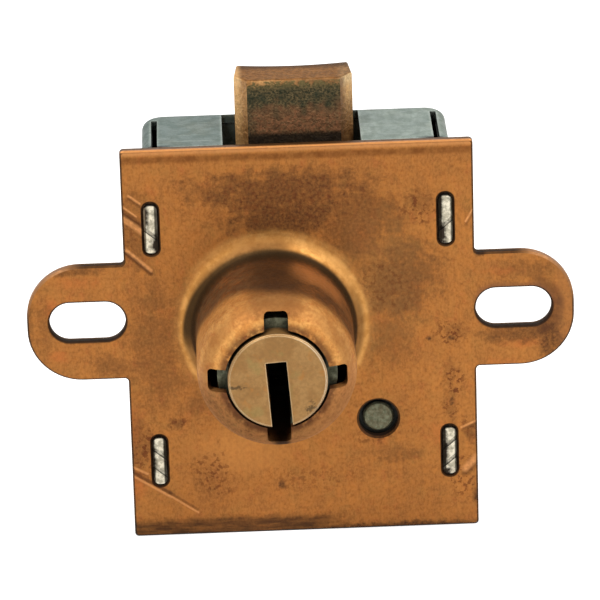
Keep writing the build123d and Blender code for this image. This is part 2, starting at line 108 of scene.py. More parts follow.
def soft_lamp(name, place, width, watts, colour):
    lamp = bpy.data.objects.new(name, bpy.data.lights.new(name, "AREA"))
    lamp.data.shape = "SQUARE"
    lamp.data.size = width
    lamp.data.energy = watts
    lamp.data.color = colour
    bpy.context.scene.collection.objects.link(lamp)
    aimed = (-Vector(place)).to_track_quat("-Z", "Y").to_matrix().to_4x4()
    lamp.matrix_world = Matrix.Translation(place) @ aimed


soft_lamp("lamp upper left", (-0.26, -0.26, 0.46), 0.18, 1.9, (1.0, 0.97, 0.92))
soft_lamp("lamp upper right", (0.30, -0.22, 0.44), 0.18, 1.6, (1.0, 0.97, 0.92))
soft_lamp("lamp behind", (0.05, 0.45, 0.40), 0.35, 0.6, (0.97, 0.99, 1.0))

bpy.ops.object.select_all(action="DESELECT")
floor_width, floor_height = 6, cad_box[0].z
bpy.ops.mesh.primitive_plane_add(size=floor_width, location=(0, 0, floor_height))
floor = bpy.context.object
floor.name = "floor"
paper = bpy.data.materials.new("white paper")
paper.use_nodes = True
tree = paper.node_tree
path = wire(tree, "ShaderNodeLightPath", {})
seen = calc(tree, "MAXIMUM", path.outputs["Is Camera Ray"], path.outputs["Is Glossy Ray"])
glow_to_white = 0.62
sheet = tree.nodes["Principled BSDF"].inputs
sheet["Base Color"].default_value = (0.8, 0.8, 0.8, 1)
sheet["Roughness"].default_value = 0.9
sheet["Emission Color"].default_value = (1, 1, 1, 1)
tree.links.new(calc(tree, "MULTIPLY", seen, glow_to_white), sheet["Emission Strength"])
floor.data.materials.append(paper)

# Face plate: steel sheet with copper plating, blanked, pierced, and the nozzle drawn out of it.
# Handling left the flat brown and cloudy, rubbed the dome bright, and left the nozzle's wall its
# dark old patina. The ring at the nozzle's root is bright partly from rubbing and partly painted
# highlight, and painted highlight and shade lie on edges, the ring and the dome. Chisel cuts run
# out from the tabs.
plate_top, plate_bottom, plate_back = 0.0227, -0.0299, 0.00125
ear_slot_x, ear_slot_straight, ear_slot_radius = 0.02715, 0.00225, 0.0026
nozzle_axis, nozzle_radius = (-0.00345, 0.0, -0.0015), 0.010
plate_metallic = 0.72


def tone(red, green, blue):
    """A colour as the eye reads it, 0 to 255, in the linear values that the shaders use."""
    return tuple(
        value / 255 / 12.92 if value <= 10 else ((value / 255 + 0.055) / 1.055) ** 2.4
        for value in (red, green, blue)
    )


def fade(tree, value, start, end):
    """Rises smoothly from 0 to 1 as the value goes from start to end."""
    feeds = {"Value": value, "From Min": start, "From Max": end}
    return wire(tree, "ShaderNodeMapRange", feeds, interpolation_type="SMOOTHSTEP").outputs["Result"]


def both(tree, first, second, *others):
    """Masks multiplied together."""
    product = calc(tree, "MULTIPLY", first, second)
    return both(tree, product, *others) if others else product


def either_of(tree, first, second):
    return calc(tree, "MAXIMUM", first, second)


def less(tree, mask):
    return calc(tree, "SUBTRACT", 1.0, mask)


def over(tree, mask, under, upper):
    """Lays one colour over another where the mask is."""
    node = wire(tree, "ShaderNodeMix", {}, data_type="RGBA")
    for socket, value in ((node.inputs[0], mask), (node.inputs[6], under), (node.inputs[7], upper)):
        if isinstance(value, bpy.types.NodeSocket):
            tree.links.new(value, socket)
        else:
            socket.default_value = (*value, 1) if isinstance(value, tuple) else value
    return node.outputs[2]


def strongest(tree, masks):
    """Several masks made one, which takes the strongest of them everywhere."""
    result, *others = masks
    for mask in others:
        result = either_of(tree, result, mask)
    return result


def vector_calc(tree, operation, first, second):
    return wire(tree, "ShaderNodeVectorMath", {0: first, 1: second}, operation=operation).outputs


def new_group(name, inputs):
    """A node group that turns its inputs into one mask: the group, its inputs and its mask socket."""
    group = bpy.data.node_groups.new(name, "ShaderNodeTree")
    for socket, kind in inputs.items():
        group.interface.new_socket(name=socket, in_out="INPUT", socket_type="NodeSocket" + kind)
    group.interface.new_socket(name="Mask", in_out="OUTPUT", socket_type="NodeSocketFloat")
    given = group.nodes.new("NodeGroupInput")
    return group, given.outputs, group.nodes.new("NodeGroupOutput").inputs["Mask"]


def use(tree, group, **feeds):
    node = tree.nodes.new("ShaderNodeGroup")
    node.node_tree = group
    for name, value in feeds.items():
        if isinstance(value, bpy.types.NodeSocket):
            tree.links.new(value, node.inputs[name])
        else:
            node.inputs[name].default_value = value
    return node.outputs["Mask"]


# Cloudy stain: patches of a given size, with ragged edges
cloudy, given, made = new_group(
    "cloudy stain", {"Vector": "Vector", "Size": "Float", "Low": "Float", "High": "Float"}
)
feeds = {"Vector": given["Vector"], "Scale": calc(cloudy, "DIVIDE", 1.0, given["Size"]), "Detail": 5.0}
clouds = wire(cloudy, "ShaderNodeTexNoise", {**feeds, "Roughness": 0.6}).outputs[0]
cloudy.links.new(fade(cloudy, clouds, given["Low"], given["High"]), made)

# Smudge: one soft spot on the front, its outline torn by a noise that the material lends it
smudge, given, made = new_group(
    "smudge", {"Vector": "Vector", "Centre": "Vector", "Reach": "Vector", "Torn": "Float"}
)
away = vector_calc(smudge, "SUBTRACT", given["Vector"], given["Centre"])[0]
away = vector_calc(smudge, "MULTIPLY", away, (1, 0, 1))[0]
away = vector_calc(smudge, "DIVIDE", away, given["Reach"])[0]
distance = vector_calc(smudge, "LENGTH", away, (0, 0, 0))["Value"]
smudge.links.new(fade(smudge, calc(smudge, "ADD", distance, given["Torn"]), 1.0, 0.3), made)

# Chisel cut: a straight narrow line on the front, from one point to another
chisel, given, made = new_group(
    "chisel cut", {"Vector": "Vector", "From": "Vector", "To": "Vector", "Width": "Float"}
)
flattened = vector_calc(chisel, "MULTIPLY", given["Vector"], (1, 0, 1))[0]
out = vector_calc(chisel, "SUBTRACT", flattened, given["From"])[0]
run = vector_calc(chisel, "SUBTRACT", given["To"], given["From"])[0]
passed = vector_calc(chisel, "DOT_PRODUCT", out, run)["Value"]
share = calc(chisel, "DIVIDE", passed, vector_calc(chisel, "DOT_PRODUCT", run, run)["Value"])
share = wire(chisel, "ShaderNodeClamp", {"Value": share}).outputs[0]
along = wire(chisel, "ShaderNodeVectorMath", {0: run, "Scale": share}, operation="SCALE").outputs[0]
distance = vector_calc(chisel, "DISTANCE", out, along)["Value"]
inner = calc(chisel, "MULTIPLY", given["Width"], 0.15)
chisel.links.new(fade(chisel, distance, given["Width"], inner), made)

# Rubbed edge: found where the surface turns within a given distance
rubbed, given, made = new_group("rubbed edge", {"Reach": "Float"})
eased_normal = wire(rubbed, "ShaderNodeBevel", {"Radius": given["Reach"]}, samples=4).outputs[0]
true_normal = wire(rubbed, "ShaderNodeNewGeometry", {}).outputs["Normal"]
likeness = vector_calc(rubbed, "DOT_PRODUCT", eased_normal, true_normal)["Value"]
rubbed.links.new(fade(rubbed, likeness, 0.995, 0.90), made)

# Grime and painted shade: darkens corners and gaps
grime_and_shade, given, made = new_group("grime_and_shade", {"Reach": "Float"})
shade = wire(grime_and_shade, "ShaderNodeAmbientOcclusion", {"Distance": given["Reach"]}, samples=6)
grime_and_shade.links.new(fade(grime_and_shade, shade.outputs["AO"], 0.85, 0.25), made)


def new_metal(name, metallic):
    """A metal finish to fill in: the material, its tree, its shader's inputs and Object coordinates."""
    finish = bpy.data.materials.new(name)
    finish.use_nodes = True
    tree = finish.node_tree
    surface = tree.nodes["Principled BSDF"].inputs
    surface["Metallic"].default_value = metallic
    surface["Specular IOR Level"].default_value = 0.25
    return finish, tree, surface, wire(tree, "ShaderNodeTexCoord", {}).outputs


def stain(tree, where, size, low=0.42, high=0.60):
    return use(tree, cloudy, Vector=where, Size=size, Low=low, High=high)


def stretched(tree, where, x, y, z):
    return wire(tree, "ShaderNodeMapping", {"Vector": where, "Scale": (x, y, z)}).outputs[0]


def smudges(tree, where, torn, rows):
    """A mask for each row: centre x, centre z, reach x, reach z in millimetres, and strength."""
    for x, z, wide, high, strength in rows:
        centre, reach = (x / 1000, 0, z / 1000), (wide / 1000, 1, high / 1000)
        spot = use(tree, smudge, Vector=where, Centre=centre, Reach=reach, Torn=torn)
        yield both(tree, spot, strength)


def split(tree, vector):
    return wire(tree, "ShaderNodeSeparateXYZ", {0: vector}).outputs


copper, tree, surface, coords = new_metal("copper plate, stained", plate_metallic)
surface["Specular IOR Level"].default_value = 0.15
where = coords["Object"]
place = split(tree, where)
facing = split(tree, coords["Normal"])
forward = calc(tree, "MULTIPLY", place["Y"], -1.0)
side = calc(tree, "ABSOLUTE", place["X"])

# The flat: brown, orange and olive clouds, a fine uneven grain, faint upright rubbing, and a
# painted highlight on one place below the nozzle
broad = stain(tree, where, 0.0075, 0.38, 0.62)
middle = stain(tree, where, 0.0018, 0.42, 0.62)
fine = stain(tree, where, 0.0005, 0.40, 0.66)
grain = stain(tree, stretched(tree, where, 1, 1, 0.6), 0.00026, 0.36, 0.64)
upright = stain(tree, stretched(tree, where, 1, 1, 0.10), 0.0007, 0.40, 0.64)
olive = stain(tree, where, 0.0026, 0.52, 0.68)
reddish = stain(tree, stretched(tree, where, 1.2, 1, 0.9), 0.0021, 0.54, 0.70)
colour = over(tree, broad, tone(164, 107, 52), tone(148, 95, 47))
colour = over(tree, both(tree, middle, 0.50), colour, tone(176, 110, 50))
colour = over(tree, both(tree, olive, 0.45), colour, tone(140, 100, 50))
colour = over(tree, both(tree, reddish, 0.45), colour, tone(158, 84, 46))
colour = over(tree, both(tree, upright, 0.28), colour, tone(128, 86, 44))
mottle = stain(tree, where, 0.0011, 0.50, 0.64)
colour = over(tree, both(tree, mottle, 0.34), colour, tone(118, 74, 38))
colour = over(tree, both(tree, fine, 0.36), colour, tone(120, 76, 38))
colour = over(tree, both(tree, grain, 0.30), colour, tone(190, 126, 66))
for highlight_below_nozzle in smudges(tree, where, 0.0, ((-8.0, -18.5, 8.5, 4.5, 0.45),)):
    colour = over(tree, highlight_below_nozzle, colour, tone(190, 128, 66))

# Reddish patches, dark stains, an olive tint and pitted places, each as: centre x, centre z,
# reach x, reach z in millimetres, and strength
reddish_patches = (
    (-31.6, 2.2, 1.3, 2.0, 0.55),
    (-31.0, -4.6, 1.7, 1.2, 0.55),
    (-28.4, 5.3, 3.6, 1.1, 0.40),
    (-21.9, -22.6, 1.8, 2.8, 0.55),
    (-22.0, -14.5, 1.4, 4.0, 0.45),
    (28.4, -5.0, 3.4, 0.9, 0.45),
    (25.4, -7.6, 2.8, 0.9, 0.30),
    (26.0, 4.9, 3.2, 0.8, 0.40),
    (8.0, 10.0, 2.4, 3.0, 0.30),
    (17.6, -17.0, 2.4, 2.4, 0.35),
)
dark_stains = (
    (-2.0, 16.6, 16.0, 4.6, 0.85),
    (-1.5, 13.0, 10.5, 4.4, 0.95),
    (7.5, 12.6, 9.0, 7.5, 0.70),
    (13.0, 4.5, 6.5, 8.0, 0.68),
    (11.5, -3.5, 4.0, 6.0, 0.40),
    (15.4, 14.6, 2.6, 2.4, 0.40),
    (-14.8, -2.0, 2.6, 9.0, 0.50),
    (-18.5, -4.0, 5.5, 12.0, 0.50),
    (-12.5, -10.5, 3.5, 4.5, 0.40),
    (19.6, -3.2, 2.2, 1.6, 0.40),
    (18.9, -8.6, 1.1, 3.6, 0.35),
    (18.8, -13.0, 1.2, 3.4, 0.35),
    (21.6, -17.0, 1.3, 2.4, 0.60),
    (22.0, -25.8, 0.9, 1.6, 0.90),
    (-3.1, -23.3, 0.7, 0.7, 0.95),
    (16.3, -3.9, 0.6, 0.55, 1.10),
    (19.1, -3.9, 0.7, 0.6, 1.00),
    (19.0, -12.6, 0.5, 0.9, 0.90),
    (22.0, -26.2, 0.8, 0.8, 1.10),
    (-21.4, -16.5, 2.4, 5.5, 0.50),
    (-16.2, -14.4, 1.8, 1.0, 0.65),
    (-12.6, -21.5, 3.2, 5.0, 0.22),
    (-20.5, 12.0, 3.2, 7.0, 0.55),
    (12.0, -19.5, 3.6, 1.8, 0.45),
    (14.0, -29.8, 14.0, 1.0, 1.10),
    (28.0, -3.7, 7.0, 1.7, 0.80),
    (31.8, -4.2, 3.0, 3.8, 0.95),
    (29.0, 5.0, 5.5, 1.9, 0.50),
    (22.9, 7.6, 1.0, 0.9, 1.30),
    (-29.0, 6.9, 5.5, 0.8, 0.70),
    (-34.6, 1.0, 0.8, 6.0, 0.45),
    (-24.5, -6.0, 3.0, 2.4, 0.55),
    (-32.6, 0.0, 1.6, 6.0, 0.40),
)
olive_tints = ((10.0, 4.5, 7.5, 11.0, 0.30),)
pitted_places = (
    (18.8, -3.2, 3.4, 2.2, 1.0),
    (19.4, -10.0, 1.9, 2.8, 1.0),
    (19.0, -14.2, 1.8, 1.8, 0.9),
    (15.4, 13.8, 3.4, 2.8, 0.9),
    (8.8, -17.0, 3.6, 1.6, 0.6),
    (20.4, -23.0, 2.6, 4.2, 0.8),
    (21.6, -16.2, 1.6, 2.4, 0.9),
    (-20.6, -18.2, 2.8, 5.0, 0.9),
    (-11.8, -21.6, 3.6, 4.6, 0.8),
    (-16.0, -14.4, 2.2, 1.4, 0.8),
    (0.5, -22.6, 8.0, 2.2, 0.45),
    (10.6, 3.6, 6.0, 6.0, 0.5),
    (-2.0, 15.4, 15.0, 5.0, 0.5),
    (-22.0, 12.0, 3.0, 5.0, 0.5),
)
feeds = {"Vector": where, "Scale": 520.0, "Detail": 6.0, "Roughness": 0.72}
torn = wire(tree, "ShaderNodeTexNoise", feeds)
torn = calc(tree, "MULTIPLY", calc(tree, "SUBTRACT", torn.outputs[0], 0.5), 2.4)
for patch in smudges(tree, where, torn, reddish_patches):
    patch = both(tree, patch, less(tree, both(tree, fine, 0.6)))
    colour = over(tree, patch, colour, tone(180, 100, 50))
darkness = strongest(tree, smudges(tree, where, torn, dark_stains))
speckle = calc(tree, "ADD", 0.46, both(tree, stain(tree, where, 0.00038, 0.28, 0.72), 0.50))
darkness = both(tree, darkness, speckle)
colour = over(tree, darkness, colour, tone(70, 44, 28))
for tint in smudges(tree, where, torn, olive_tints):
    colour = over(tree, tint, colour, tone(132, 98, 56))
pits = stain(tree, where, 0.00072, 0.505, 0.575)
for pitted in smudges(tree, where, torn, pitted_places):
    colour = over(tree, both(tree, pitted, pits, 0.82), colour, tone(92, 46, 25))
streaky = stain(tree, stretched(tree, where, 0.16, 1, 1), 0.0007, 0.34, 0.66)
bottom_band = both(
    tree,
    fade(
        tree,
        calc(tree, "ADD", place["Z"], both(tree, torn, 0.0010)),
        plate_bottom + 0.0029,
        plate_bottom + 0.0015,
    ),
    fade(tree, calc(tree, "ADD", place["X"], both(tree, torn, 0.0040)), 0.0070, 0.0010),
    calc(tree, "ADD", 0.58, both(tree, streaky, 0.38)),
)
colour = over(tree, bottom_band, colour, tone(64, 42, 26))
# Painted shade in a dark line just under the top edge, and a painted highlight along the top edge
shade_under_top_edge = both(
    tree,
    fade(tree, place["Z"], plate_top - 0.0020, plate_top - 0.0014),
    fade(tree, place["Z"], plate_top - 0.0006, plate_top - 0.0011),
    calc(tree, "ADD", 0.45, both(tree, middle, 0.4)),
)
colour = over(tree, shade_under_top_edge, colour, tone(104, 60, 26))
top_edge_highlight = fade(tree, place["Z"], plate_top - 0.0008, plate_top - 0.0004)
colour = over(tree, both(tree, top_edge_highlight, 0.55), colour, tone(198, 138, 84))

# Ears: the lip of each slot is blackened, more so below it, and the right ear is darker at its end
from_middle = calc(tree, "ABSOLUTE", calc(tree, "SUBTRACT", side, ear_slot_x))
past_end = calc(tree, "MAXIMUM", calc(tree, "SUBTRACT", from_middle, ear_slot_straight), 0.0)
from_slot = wire(tree, "ShaderNodeCombineXYZ", {"X": past_end, "Z": place["Z"]}).outputs[0]
from_slot = vector_calc(tree, "LENGTH", from_slot, (0, 0, 0))["Value"]
lower = calc(tree, "ADD", 0.35, both(tree, fade(tree, place["Z"], 0.001, -0.0015), 0.60))
lip = both(tree, fade(tree, from_slot, ear_slot_radius + 0.00045, ear_slot_radius + 0.00002), lower)
colour = over(tree, lip, colour, tone(46, 28, 14))
round_slot = fade(tree, from_slot, ear_slot_radius + 0.0021, ear_slot_radius + 0.0010)
burnt = both(tree, round_slot, fade(tree, place["X"], 0.0288, 0.0312))
burnt = both(tree, burnt, calc(tree, "ADD", 0.55, both(tree, middle, 0.35)))
colour = over(tree, burnt, colour, tone(84, 52, 32))
over_slot = both(
    tree,
    fade(
        tree,
        calc(tree, "ADD", from_slot, both(tree, torn, 0.0003)),
        ear_slot_radius + 0.0010,
        ear_slot_radius + 0.0003,
    ),
    fade(tree, place["X"], 0.0210, 0.0230),
    fade(tree, place["Z"], 0.0, 0.0020),
)
colour = over(tree, both(tree, over_slot, 0.60), colour, tone(112, 74, 50))
right_end = fade(tree, place["X"], 0.0318, 0.0335)
colour = over(tree, both(tree, right_end, 0.35), colour, tone(138, 92, 56))

# Chisel cuts, each from one point to another in millimetres, then its width, its strength, and
# the side of the pale burr, above (1) or below (-1), on which the dark groove lies
chisel_cuts = (
    (-22.9, 14.4, -19.2, 11.5, 0.60, 1.2, 1),
    (-22.4, 15.6, -20.4, 14.0, 0.20, 0.4, -1),
    (-21.8, 9.5, -18.8, 6.7, 0.40, 1.1, -1),
    (-21.3, 16.8, -19.9, 15.7, 0.26, 0.7, -1),
    (-22.3, -21.3, -17.4, -24.5, 0.34, 1.0, 1),
    (-17.6, -24.3, -14.0, -26.8, 0.24, 0.6, 1),
    (-22.5, -20.0, -20.3, -21.2, 0.28, 0.3, -1),
    (21.2, 11.8, 22.3, 13.7, 0.24, 0.5, -1),
    (20.2, -16.3, 22.2, -15.4, 0.26, 0.6, -1),
    (20.6, -22.0, 22.2, -20.4, 0.75, 0.8, -1),
)
burrs = 0.0
broken = calc(tree, "ADD", 0.48, both(tree, fine, 0.40))
on_front = fade(tree, place["Y"], 0.0006, 0.0002)
for x1, z1, x2, z2, width, strength, groove_side in chisel_cuts:
    shift = groove_side * (0.00030 + 0.5 * width / 1000)
    ends = {"From": (x1 / 1000, 0, z1 / 1000), "To": (x2 / 1000, 0, z2 / 1000)}
    burr = use(tree, chisel, Vector=where, Width=width / 1000, **ends)
    ends = {"From": (x1 / 1000, 0, z1 / 1000 + shift), "To": (x2 / 1000, 0, z2 / 1000 + shift)}
    groove = use(tree, chisel, Vector=where, Width=width / 1000, **ends)
    colour = over(tree, both(tree, groove, on_front, 0.70 * strength), colour, tone(82, 48, 26))
    colour = over(tree, both(tree, burr, on_front, broken), colour, tone(212, 148, 90))
    burrs = calc(tree, "ADD", burrs, both(tree, calc(tree, "SUBTRACT", burr, groove), on_front, strength))

# Nozzle: by distance from its axis, by the way round it, and by how far forward of the sheet.
# The wall is dark along its top and has one paler streak on the right.
from_axis = vector_calc(tree, "SUBTRACT", where, nozzle_axis)[0]
from_axis = vector_calc(tree, "MULTIPLY", from_axis, (1, 0, 1))[0]
radius = vector_calc(tree, "LENGTH", from_axis, (0, 0, 0))["Value"]
around = split(tree, from_axis)
leftward = fade(tree, around["X"], 0.0005, -0.0070)
on_wall = fade(tree, forward, 0.00035, 0.0012)
patina = over(tree, stain(tree, where, 0.0022), tone(104, 68, 42), tone(134, 86, 46))
patina = over(tree, both(tree, stain(tree, where, 0.0006), 0.6), patina, tone(78, 56, 40))
along_top = fade(tree, calc(tree, "ABSOLUTE", around["X"]), 0.0046, 0.0020)
patina = over(tree, both(tree, along_top, 0.75), patina, tone(66, 44, 28))
strayed = calc(tree, "ADD", forward, both(tree, torn, 0.0016))
streak = both(
    tree,
    fade(tree, strayed, 0.0016, 0.0048),
    fade(tree, strayed, 0.0100, 0.0064),
    fade(tree, calc(tree, "ADD", around["X"], both(tree, torn, 0.0012)), 0.0012, 0.0048),
    fade(tree, calc(tree, "ADD", around["Z"], both(tree, torn, 0.0040)), 0.0020, 0.0076),
)
patina = over(tree, both(tree, streak, 0.85), patina, tone(180, 122, 72))
greenish = both(
    tree, leftward, fade(tree, forward, 0.0012, 0.0024), stain(tree, where, 0.0010, 0.40, 0.60)
)
patina = over(tree, both(tree, greenish, 0.6), patina, tone(118, 94, 66))
foot = both(tree, fade(tree, forward, 0.0004, 0.0012), fade(tree, forward, 0.0032, 0.0014))
patina = over(tree, both(tree, foot, 0.70), patina, tone(48, 38, 24))
colour = over(tree, on_wall, colour, patina)

# The ring at the root: gold, worn bright and partly painted highlight, brighter towards its top and
# along a painted crest, with painted shade inside it and across its top, and a dark crescent on the
# left that is painted shade over old patina
gold = over(tree, stain(tree, where, 0.0016), tone(206, 152, 84), tone(184, 130, 66))
root = both(tree, fade(tree, forward, 0.0013, 0.0006), fade(tree, place["Y"], 0.0008, 0.0))
high_up = fade(tree, around["Z"], 0.0060, 0.0110)
outskirts = both(
    tree,
    fade(tree, radius, nozzle_radius + 0.0036, nozzle_radius + 0.0026),
    root,
    calc(tree, "ADD", 0.12, both(tree, high_up, 0.36)),
)
colour = over(tree, outskirts, colour, gold)
ring = both(tree, fade(tree, radius, nozzle_radius + 0.0025, nozzle_radius + 0.0018), root)
colour = over(tree, both(tree, ring, 0.88), colour, gold)
crest_highlight = both(
    tree,
    ring,
    fade(tree, radius, nozzle_radius + 0.0008, nozzle_radius + 0.0013),
    fade(tree, around["Z"], 0.0030, 0.0070),
    fade(tree, around["X"], 0.0010, 0.0040),
)
colour = over(tree, both(tree, crest_highlight, 0.25), colour, tone(228, 174, 104))
ring_top_shade = both(
    tree,
    ring,
    fade(tree, around["X"], 0.0042, 0.0006),
    fade(tree, around["X"], -0.0066, -0.0034),
    fade(tree, around["Z"], 0.0030, 0.0080),
)
colour = over(tree, both(tree, ring_top_shade, 0.62), colour, tone(142, 96, 50))
inner_ring_shade = both(
    tree,
    fade(tree, radius, nozzle_radius + 0.0019, nozzle_radius + 0.0011),
    either_of(tree, fade(tree, around["X"], 0.0034, 0.0006), fade(tree, around["Z"], 0.0068, 0.0020)),
    fade(tree, around["Z"], -0.0078, -0.0046),
    root,
)
colour = over(tree, both(tree, inner_ring_shade, 0.70), colour, tone(112, 76, 40))
low_left = vector_calc(tree, "DISTANCE", from_axis, (-0.0007, 0, -0.0006))["Value"]
left = vector_calc(tree, "DISTANCE", from_axis, (-0.0003, 0, 0.0001))["Value"]
left_crescent_shade_and_patina = both(
    tree,
    either_of(
        tree,
        fade(tree, low_left, nozzle_radius + 0.0012, nozzle_radius + 0.0007),
        fade(tree, left, nozzle_radius + 0.0010, nozzle_radius + 0.0005),
    ),
    fade(tree, forward, 0.0030, 0.0010),
    fade(tree, around["Z"], -0.0040, 0.0002),
)
colour = over(tree, both(tree, left_crescent_shade_and_patina, 0.9), colour, tone(52, 38, 20))

# Dome: gold, with painted shade dulling the very top and turning the lower half a mottled brown,
# worn further back on the left, and a spot of painted shade at the lower end of the bottom notch
further_back = calc(tree, "ADD", 0.0036, both(tree, fade(tree, around["Z"], 0.0066, 0.0020), 0.0030))
rubbed_to = calc(tree, "ADD", forward, both(tree, leftward, further_back))
rubbed_to = calc(tree, "ADD", rubbed_to, both(tree, torn, 0.0010))
dome_mask = fade(tree, rubbed_to, 0.0122, 0.0158)
dome = over(tree, stain(tree, where, 0.0020, 0.38, 0.62), tone(208, 152, 84), tone(188, 128, 66))
dome = over(tree, both(tree, stain(tree, where, 0.0009, 0.55, 0.70), 0.6), dome, tone(178, 100, 54))
dome = over(tree, both(tree, stain(tree, where, 0.0004), 0.28), dome, tone(140, 90, 46))
shoulder = both(tree, fade(tree, radius, 0.0080, 0.0086), fade(tree, radius, 0.0098, 0.0092))
dome = over(tree, both(tree, shoulder, 0.50), dome, tone(142, 94, 50))
dome_top_shade = both(tree, along_top, fade(tree, around["Z"], 0.0072, 0.0084))
dome = over(tree, both(tree, dome_top_shade, 0.72), dome, tone(122, 78, 40))
dome_low_shade = both(tree, fade(tree, around["Z"], 0.0025, -0.0030), dome_mask)
gold_in_shade = over(tree, mottle, tone(138, 96, 56), tone(110, 72, 42))
coppery = stain(tree, where, 0.0008, 0.46, 0.60)
gold_in_shade = over(tree, both(tree, coppery, 0.55), gold_in_shade, tone(168, 110, 64))
rightward = fade(tree, around["X"], 0.0, 0.0060)
gold_in_shade = over(tree, both(tree, rightward, 0.6), gold_in_shade, tone(186, 126, 72))
gold_in_shade = over(tree, both(tree, fine, 0.46), gold_in_shade, tone(104, 66, 40))
gold_in_shade = over(tree, both(tree, grain, 0.38), gold_in_shade, tone(196, 132, 78))
dome = over(tree, both(tree, dome_low_shade, 0.84), dome, gold_in_shade)
mouth = both(tree, fade(tree, radius, 0.0078, 0.0069), stain(tree, where, 0.0012, 0.32, 0.52), dome_mask)
dome = over(tree, both(tree, mouth, 0.72), dome, tone(76, 40, 26))
for shade_under_keyway in smudges(tree, where, 0.0, ((-3.1, -10.6, 1.5, 1.4, 0.9),)):
    dome = over(tree, shade_under_keyway, dome, tone(30, 18, 10))
colour = over(tree, dome_mask, colour, dome)

# The sheared walls of slots and edges are painted near black as shade, darkest towards the back,
# but for the top edge and the rolled rim at the end of each ear, which gets a painted highlight.
# The top edge is painted dark towards its back, as shade against the case. Corners and gaps
# get grime and painted shade.
sheared = both(
    tree,
    fade(tree, calc(tree, "ABSOLUTE", facing["Y"]), 0.85, 0.65),
    fade(tree, place["Y"], -0.00005, 0.00005),
    fade(tree, place["Z"], plate_top - 0.0001, plate_top - 0.0003),
)
inside_slot = fade(tree, from_slot, ear_slot_radius + 0.0004, ear_slot_radius + 0.0002)
rolled = both(
    tree,
    fade(tree, side, 0.0272, 0.0308),
    fade(tree, place["Z"], 0.0, 0.0030),
    less(tree, inside_slot),
)
wall_shade = both(tree, sheared, less(tree, both(tree, rolled, 0.9)))
rearward = fade(tree, place["Y"], plate_back - 0.00055, plate_back - 0.00005)
wall = over(tree, rearward, tone(26, 16, 8), tone(104, 78, 54))
colour = over(tree, both(tree, wall_shade, 0.95), colour, wall)
ear_rim_highlight = both(tree, rolled, fade(tree, calc(tree, "ABSOLUTE", facing["Y"]), 0.99, 0.9))
colour = over(tree, both(tree, ear_rim_highlight, 0.8), colour, tone(150, 108, 72))
top_edge_back_shade = both(
    tree,
    fade(tree, place["Y"], 0.0003, 0.0007),
    fade(tree, place["Z"], plate_top - 0.0003, plate_top - 0.0001),
)
colour = over(tree, both(tree, top_edge_back_shade, 0.9), colour, tone(62, 42, 22))
colour = over(tree, both(tree, use(tree, grime_and_shade, Reach=0.0012), 0.85), colour, tone(40, 28, 20))
tree.links.new(colour, surface["Base Color"])
under_nozzle = both(tree, fade(tree, facing["Z"], 0.05, -0.35), fade(tree, forward, 0.0100, 0.0120))
unlike_metal = either_of(tree, both(tree, wall_shade, 0.72), both(tree, under_nozzle, 0.50))
tree.links.new(calc(tree, "SUBTRACT", plate_metallic, unlike_metal), surface["Metallic"])

# Roughness and relief
rubbed_places = either_of(tree, ring, dome_mask)
roughness = calc(tree, "ADD", 0.46, both(tree, fine, 0.12))
roughness = calc(tree, "ADD", roughness, both(tree, rubbed_places, 0.06))
dull = either_of(tree, both(tree, wall_shade, 0.3), both(tree, under_nozzle, 0.45))
tree.links.new(calc(tree, "ADD", roughness, dull), surface["Roughness"])
relief = calc(tree, "ADD", both(tree, fine, -0.10), both(tree, burrs, 1.0))
relief = calc(tree, "ADD", relief, both(tree, broad, 0.30))
relief = calc(tree, "SUBTRACT", relief, both(tree, darkness, 0.15))
bump = wire(tree, "ShaderNodeBump", {"Height": relief, "Distance": 0.00012, "Strength": 0.8})
tree.links.new(bump.outputs[0], surface["Normal"])
nodes["face_plate"].data.materials[0] = copper

# Barrel sleeve and the other grey steel: spacers, washers, drive disc, drive pin and fence. The
# sleeve is the tube that carries the plug, and both posts hold its flange behind the plate. Its
# front end shows in the nozzle's four notches, dull and a little green.
steel, tree, surface, coords = new_metal("dull steel", 0.5)
where = coords["Object"]
place = split(tree, where)
colour = over(tree, stain(tree, where, 0.0012), tone(118, 122, 100), tone(84, 86, 66))
colour = over(tree, both(tree, stain(tree, where, 0.0004), 0.5), colour, tone(60, 62, 48))
# Painted shade: the steel is darkened from a little in front of the plate backwards, deep in the nozzle
# and the case; the grime mask adds grime and painted shade in corners and gaps
colour = over(tree, fade(tree, place["Y"], -0.006, -0.001), colour, tone(34, 34, 28))
colour = over(tree, both(tree, use(tree, grime_and_shade, Reach=0.0015), 0.9), colour, tone(18, 20, 15))
tree.links.new(colour, surface["Base Color"])
tree.links.new(calc(tree, "ADD", 0.42, both(tree, stain(tree, where, 0.0008), 0.2)), surface["Roughness"])
grey_steel_pieces = (
    "barrel_sleeve",
    "lever_spacer",
    "guide_spacer",
    "lever_washer_1",
    "lever_washer_2",
    "lever_washer_3",
    "drive_disc",
    "drive_pin",
    "fence",
)
for name in grey_steel_pieces:
    nodes[name].data.materials[0] = steel

